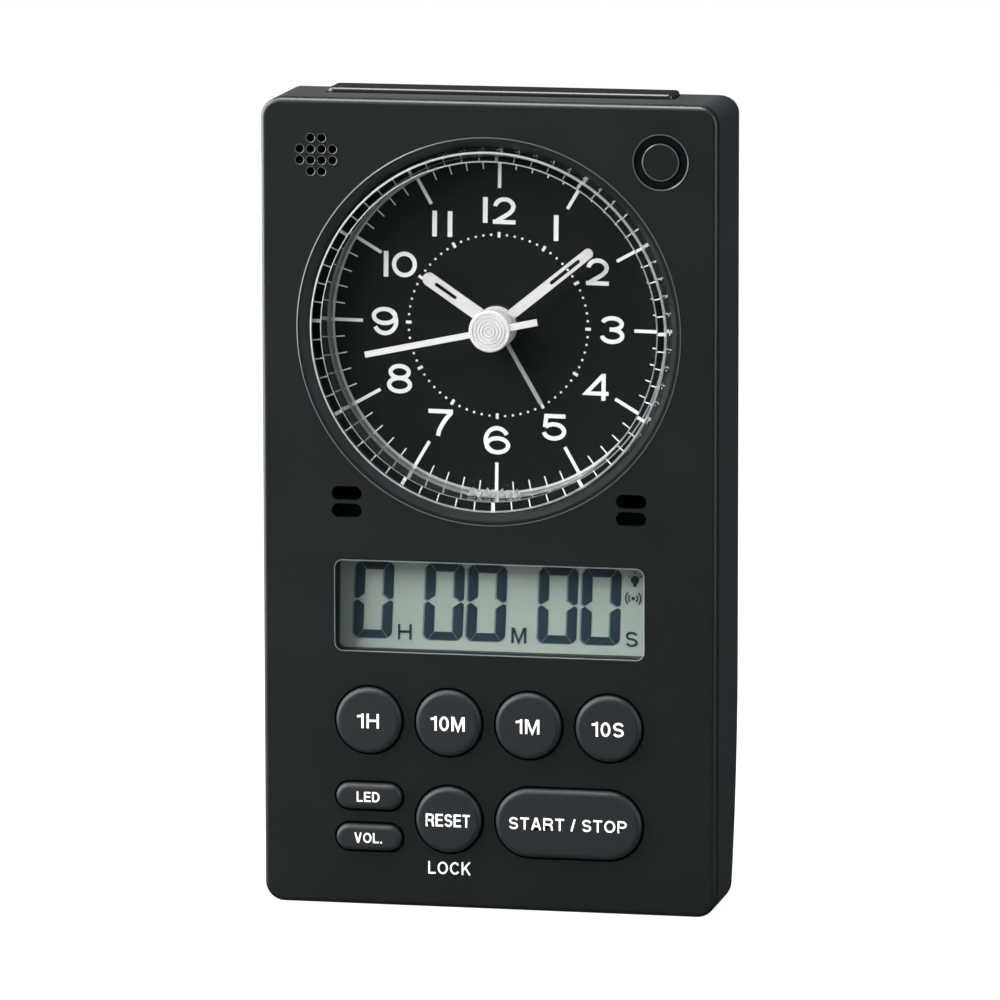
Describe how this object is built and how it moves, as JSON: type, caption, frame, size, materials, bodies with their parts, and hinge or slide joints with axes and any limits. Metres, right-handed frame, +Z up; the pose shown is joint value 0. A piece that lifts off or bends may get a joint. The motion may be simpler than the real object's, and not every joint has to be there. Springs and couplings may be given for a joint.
{
  "type": "desk alarm clock with timer",
  "caption": "Upright desk alarm clock: round analogue dial with four hands above an LCD countdown timer with keys, long top bar, rear setting knobs and battery bay.",
  "frame": {"origin": "on the floor, at the middle of the clock's box", "axes": "+Z up, +X to the right seen from the front, +Y to the back; the dial faces -Y"},
  "size_m": [0.075, 0.032, 0.1331],
  "materials": {
    "panel_plastic": "fine satin moulded plastic, almost black",
    "case_plastic": "satin black moulded plastic",
    "key_plastic": "soft satin dark grey plastic",
    "bar_plastic": "semi-gloss black plastic",
    "clear_plastic": "clear moulded acrylic",
    "dial_print": "matt black dial with white print",
    "hand_white": "off-white paint",
    "hand_silver": "silver-grey paint",
    "black_gloss": "dark smoked plastic",
    "lcd_glass": "grey-green reflective display",
    "rubber_strip": "conductive rubber strip",
    "circuit_board": "green solder mask",
    "component_black": "moulded electronic component",
    "switch_metal": "plated steel cover",
    "led_clear": "clear epoxy",
    "steel": "zinc-plated steel",
    "brass": "turned brass",
    "gear_plastic": "natural acetal",
    "movement_plastic": "black moulded plastic",
    "copper": "enamelled copper wire",
    "magnet": "sintered magnet",
    "cell_wrap": "plain printed battery sleeve"
  },
  "bodies": {
    "case": {"front_panel": "panel_plastic", "front_case": "case_plastic", "rear_case": "case_plastic", "case_screws": "steel", "carrier_screws": "steel", "board_screws": "steel", "movement_screws": "steel", "arbor_pins": "steel", "crystal": "clear_plastic", "display_window": "clear_plastic", "dial": "dial_print", "dial_carrier": "movement_plastic", "dial_leds": "led_clear", "lcd_frame": "movement_plastic", "lcd_glass": "lcd_glass", "lcd_connectors": "rubber_strip", "main_board": "circuit_board", "top_board": "circuit_board", "board_parts": "component_black", "key_switches": "switch_metal", "snooze_switch": "switch_metal", "lamp_ring": "black_gloss", "lamp_lens": "panel_plastic", "lamp_led": "led_clear", "speaker": "component_black", "movement_base": "movement_plastic", "movement_cover": "movement_plastic", "coil": "copper", "stator": "steel", "battery_cells": "cell_wrap", "battery_contacts": "steel", "battery_springs": "steel"},
    "second_hand_body": {"second_hand": "hand_white", "second_wheel": "gear_plastic"},
    "minute_hand_body": {"minute_hand": "hand_white", "minute_wheel": "brass"},
    "hour_hand_body": {"hour_hand": "hand_white", "hour_wheel": "gear_plastic"},
    "alarm_hand_body": {"alarm_hand": "hand_silver", "alarm_wheel": "gear_plastic"},
    "third_wheel_body": {"third_wheel": "gear_plastic"},
    "intermediate_wheel_body": {"intermediate_wheel": "gear_plastic"},
    "rotor_body": {"rotor": "magnet"},
    "setting_wheel_body": {"setting_wheel": "gear_plastic"},
    "time_knob_body": {"time_knob": "key_plastic"},
    "alarm_knob_body": {"alarm_knob": "key_plastic"},
    "alarm_switch_body": {"alarm_switch": "key_plastic"},
    "snooze_bar_body": {"snooze_bar": "bar_plastic"},
    "battery_door_body": {"battery_door": "case_plastic"},
    "key_hour_body": {"key_hour": "key_plastic"},
    "key_ten_minutes_body": {"key_ten_minutes": "key_plastic"},
    "key_minute_body": {"key_minute": "key_plastic"},
    "key_ten_seconds_body": {"key_ten_seconds": "key_plastic"},
    "key_reset_body": {"key_reset": "key_plastic"},
    "key_start_stop_body": {"key_start_stop": "key_plastic"},
    "key_led_body": {"key_led": "key_plastic"},
    "key_volume_body": {"key_volume": "key_plastic"}
  },
  "joints": [
    {"name": "second_hand_turn", "type": "hinge", "parent": "case", "child": "second_hand_body", "pos_m": [0, -0.003, 0.09495], "axis": [0, 1, 0], "continuous": true},
    {"name": "minute_hand_turn", "type": "hinge", "parent": "case", "child": "minute_hand_body", "pos_m": [0, -0.003, 0.09495], "axis": [0, 1, 0], "continuous": true},
    {"name": "hour_hand_turn", "type": "hinge", "parent": "case", "child": "hour_hand_body", "pos_m": [0, -0.003, 0.09495], "axis": [0, 1, 0], "continuous": true},
    {"name": "third_wheel_turn", "type": "hinge", "parent": "case", "child": "third_wheel_body", "pos_m": [-0.00071, -0.003, 0.10302], "axis": [0, 1, 0], "continuous": true},
    {"name": "intermediate_wheel_turn", "type": "hinge", "parent": "case", "child": "intermediate_wheel_body", "pos_m": [0.00686, -0.003, 0.09891], "axis": [0, 1, 0], "continuous": true},
    {"name": "rotor_turn", "type": "hinge", "parent": "case", "child": "rotor_body", "pos_m": [0.01278, -0.003, 0.10107], "axis": [0, 1, 0], "continuous": true},
    {"name": "setting_wheel_turn", "type": "hinge", "parent": "case", "child": "setting_wheel_body", "pos_m": [-0.00614, -0.003, 0.0987], "axis": [0, 1, 0], "continuous": true},
    {"name": "time_knob_turn", "type": "hinge", "parent": "case", "child": "time_knob_body", "pos_m": [-0.00737, -0.003, 0.08979], "axis": [0, 1, 0], "continuous": true},
    {"name": "alarm_hand_turn", "type": "hinge", "parent": "case", "child": "alarm_hand_body", "pos_m": [0, -0.003, 0.09495], "axis": [0, 1, 0], "continuous": true},
    {"name": "alarm_knob_turn", "type": "hinge", "parent": "case", "child": "alarm_knob_body", "pos_m": [0.00737, -0.003, 0.08979], "axis": [0, 1, 0], "continuous": true},
    {"name": "key_hour_press", "type": "slide", "parent": "case", "child": "key_hour_body", "axis": [0, 1, 0], "range_m": [0, 0.0008], "stiffness_N_per_m": 700, "springref_m": -0.0006},
    {"name": "key_ten_minutes_press", "type": "slide", "parent": "case", "child": "key_ten_minutes_body", "axis": [0, 1, 0], "range_m": [0, 0.0008], "stiffness_N_per_m": 700, "springref_m": -0.0006},
    {"name": "key_minute_press", "type": "slide", "parent": "case", "child": "key_minute_body", "axis": [0, 1, 0], "range_m": [0, 0.0008], "stiffness_N_per_m": 700, "springref_m": -0.0006},
    {"name": "key_ten_seconds_press", "type": "slide", "parent": "case", "child": "key_ten_seconds_body", "axis": [0, 1, 0], "range_m": [0, 0.0008], "stiffness_N_per_m": 700, "springref_m": -0.0006},
    {"name": "key_reset_press", "type": "slide", "parent": "case", "child": "key_reset_body", "axis": [0, 1, 0], "range_m": [0, 0.0008], "stiffness_N_per_m": 700, "springref_m": -0.0006},
    {"name": "key_start_stop_press", "type": "slide", "parent": "case", "child": "key_start_stop_body", "axis": [0, 1, 0], "range_m": [0, 0.0008], "stiffness_N_per_m": 700, "springref_m": -0.0006},
    {"name": "key_led_press", "type": "slide", "parent": "case", "child": "key_led_body", "axis": [0, 1, 0], "range_m": [0, 0.0008], "stiffness_N_per_m": 700, "springref_m": -0.0006},
    {"name": "key_volume_press", "type": "slide", "parent": "case", "child": "key_volume_body", "axis": [0, 1, 0], "range_m": [0, 0.0008], "stiffness_N_per_m": 700, "springref_m": -0.0006},
    {"name": "snooze_bar_press", "type": "slide", "parent": "case", "child": "snooze_bar_body", "axis": [0, 0, -1], "range_m": [0, 0.0008], "stiffness_N_per_m": 900, "springref_m": -0.0006},
    {"name": "alarm_switch_slide", "type": "slide", "parent": "case", "child": "alarm_switch_body", "axis": [1, 0, 0], "range_m": [0, 0.003]},
    {"name": "battery_door_lift", "type": "slide", "parent": "case", "child": "battery_door_body", "axis": [0, 1, 0], "range_m": [0, 0.015]}
  ],
  "couplings": [
    {"joint": "minute_hand_turn", "follows": "second_hand_turn", "ratio": 0.016667},
    {"joint": "hour_hand_turn", "follows": "second_hand_turn", "ratio": 0.0013889},
    {"joint": "third_wheel_turn", "follows": "second_hand_turn", "ratio": -0.13333},
    {"joint": "intermediate_wheel_turn", "follows": "second_hand_turn", "ratio": -5},
    {"joint": "rotor_turn", "follows": "second_hand_turn", "ratio": 30},
    {"joint": "setting_wheel_turn", "follows": "second_hand_turn", "ratio": -0.0055556},
    {"joint": "time_knob_turn", "follows": "second_hand_turn", "ratio": 0.0083333},
    {"joint": "alarm_hand_turn", "follows": "alarm_knob_turn", "ratio": -0.66667}
  ]
}
